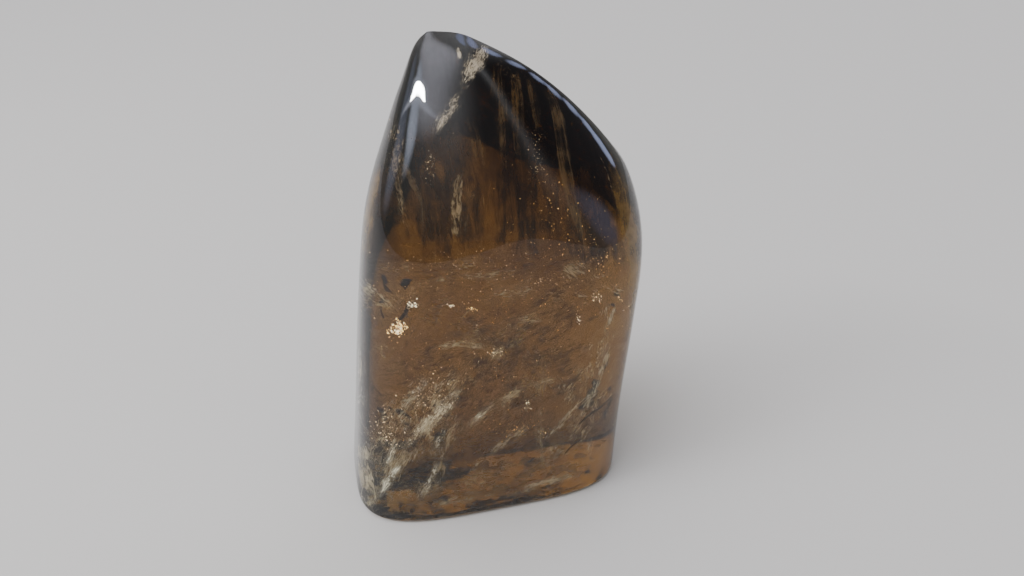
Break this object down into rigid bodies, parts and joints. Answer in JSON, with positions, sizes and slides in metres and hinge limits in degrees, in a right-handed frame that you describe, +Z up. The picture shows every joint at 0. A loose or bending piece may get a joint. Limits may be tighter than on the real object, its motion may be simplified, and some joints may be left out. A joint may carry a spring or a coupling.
{
  "type": "smoky quartz freeform",
  "caption": "Polished freeform of see-through smoky quartz in a leaning flame shape, cut flat underneath so that it stands on a shelf as an ornament.",
  "frame": {"origin": "middle of the flat foot that the stone stands on", "axes": "+Z up from the foot to the tip, +X along the width towards the shoulder side, -Y towards the broad front face"},
  "size_m": [0.1322, 0.084, 0.2],
  "materials": {
    "smoky_quartz": "high hand polish on see-through smoky brown quartz, with white healed fractures, veils and pale sparkling flecks inside"
  },
  "bodies": {
    "root": {"quartz_freeform": "smoky_quartz"}
  },
  "joints": []
}
